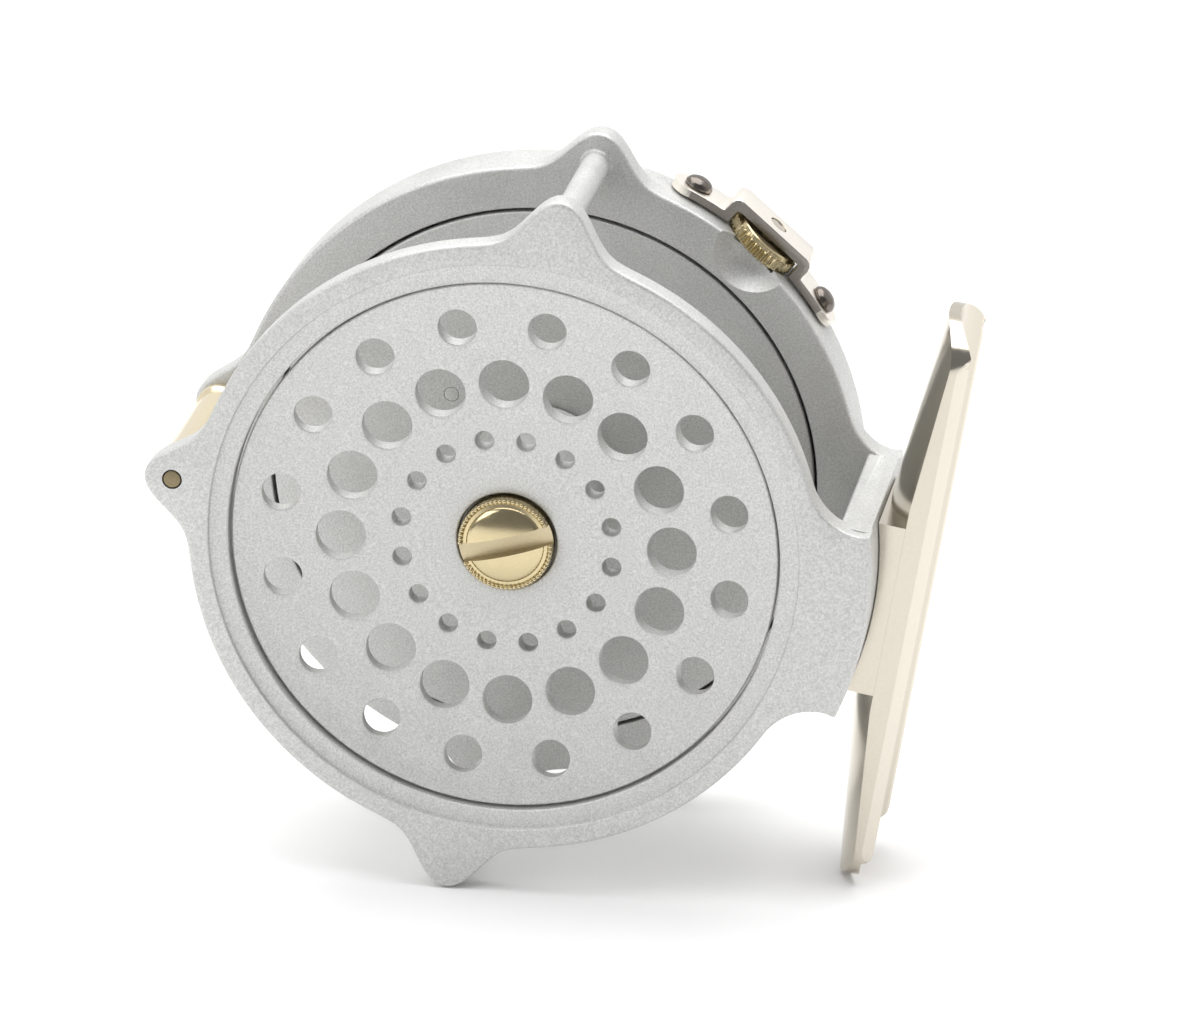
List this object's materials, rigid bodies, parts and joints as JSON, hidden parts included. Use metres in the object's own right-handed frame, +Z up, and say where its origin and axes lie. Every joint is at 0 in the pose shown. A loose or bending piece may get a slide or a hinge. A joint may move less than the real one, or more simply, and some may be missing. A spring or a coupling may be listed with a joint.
{
  "type": "fly reel",
  "caption": "Raised-pillar fly reel with perforated drum, winding plate with handle, click check with rim regulator, and a nickel-silver foot.",
  "frame": {"origin": "bottom centre of the bounding box, on the surface the reel stands on", "axes": "+Z up; the drum's axis runs along +Y and the perforated face looks towards -Y; the foot is on the +X side, and the whole reel leans 9.6 degrees"},
  "size_m": [0.0936, 0.0568, 0.0836],
  "materials": {
    "anodised_aluminium": "bead-blasted, silver anodised, satin",
    "drum_aluminium": "bead-blasted, silver anodised, satin",
    "plate_aluminium": "turned and bead-blasted, silver anodised",
    "nickel_silver": "polished nickel silver, warm tone",
    "brass": "polished brass",
    "pin_bronze": "dull brown bronze pin",
    "blued_steel": "blued and polished",
    "steel": "ground steel",
    "spring_steel": "drawn spring wire",
    "ivory_resin": "polished ivory-coloured resin"
  },
  "bodies": {
    "cage": {"cage": "anodised_aluminium", "foot": "nickel_silver", "foot_screw_lower": "nickel_silver", "foot_screw_upper": "nickel_silver", "roller_pin": "pin_bronze", "bearing_outer_race": "steel", "pawl_post": "steel", "click_spring": "spring_steel", "regulator_strap": "nickel_silver", "strap_screw_lower": "blued_steel", "strap_screw_upper": "blued_steel"},
    "drum": {"drum": "drum_aluminium", "drum_rear_flange": "drum_aluminium", "spindle": "steel", "winding_plate": "plate_aluminium", "spindle_nut": "brass", "drive_hub": "steel", "drive_pin_1": "steel", "drive_pin_2": "steel", "bearing_inner_race": "steel", "bearing_clip": "spring_steel", "check_wheel": "brass", "wheel_rivet_1": "steel", "wheel_rivet_2": "steel", "wheel_rivet_3": "steel", "handle_post": "steel", "handle_collar": "nickel_silver", "handle_screw": "nickel_silver", "bearing_ball_1": "steel", "bearing_ball_2": "steel", "bearing_ball_3": "steel", "bearing_ball_4": "steel", "bearing_ball_5": "steel", "bearing_ball_6": "steel", "bearing_ball_7": "steel", "bearing_ball_8": "steel"},
    "knob": {"handle_knob": "ivory_resin"},
    "roller": {"line_roller": "nickel_silver"},
    "pawl": {"click_pawl": "steel"},
    "regulator_wheel": {"regulator_wheel": "brass"},
    "regulator_screw": {"regulator_screw": "steel"},
    "lock_screw": {"lock_screw": "brass"}
  },
  "joints": [
    {"name": "drum_spin", "type": "hinge", "parent": "cage", "child": "drum", "pos_m": [-0.00511, 0.00173, 0.04187], "axis": [0, 1, 0], "continuous": true},
    {"name": "knob_spin", "type": "hinge", "parent": "drum", "child": "knob", "pos_m": [-0.00804, 0.01773, 0.01654], "axis": [0, 1, 0], "continuous": true},
    {"name": "roller_spin", "type": "hinge", "parent": "cage", "child": "roller", "pos_m": [-0.04317, -0.01327, 0.04831], "axis": [0, 1, 0], "continuous": true},
    {"name": "pawl_lift", "type": "hinge", "parent": "cage", "child": "pawl", "pos_m": [0.00226, 0.00373, 0.06397], "axis": [0, -1, 0], "range_deg": [0, 12], "stiffness_Nm_per_rad": 0.02, "springref_deg": -11.46, "deforming": ["click_spring"]},
    {"name": "regulator_turn", "type": "hinge", "parent": "cage", "child": "regulator_wheel", "pos_m": [0.02017, 0.00373, 0.07024], "axis": [0.6652, 0, 0.7466], "range_deg": [-360, 360]},
    {"name": "regulator_travel", "type": "slide", "parent": "cage", "child": "regulator_screw", "axis": [0.6652, 0, 0.7466], "range_m": [-0.0005, 0.0005], "deforming": ["click_spring"]},
    {"name": "lock_screw_turn", "type": "hinge", "parent": "drum", "child": "lock_screw", "pos_m": [-0.00511, -0.02327, 0.04187], "axis": [0, 1, 0], "range_deg": [0, 360]}
  ],
  "couplings": [
    {"joint": "regulator_turn", "follows": "regulator_travel", "rad_per_m": -12566}
  ]
}
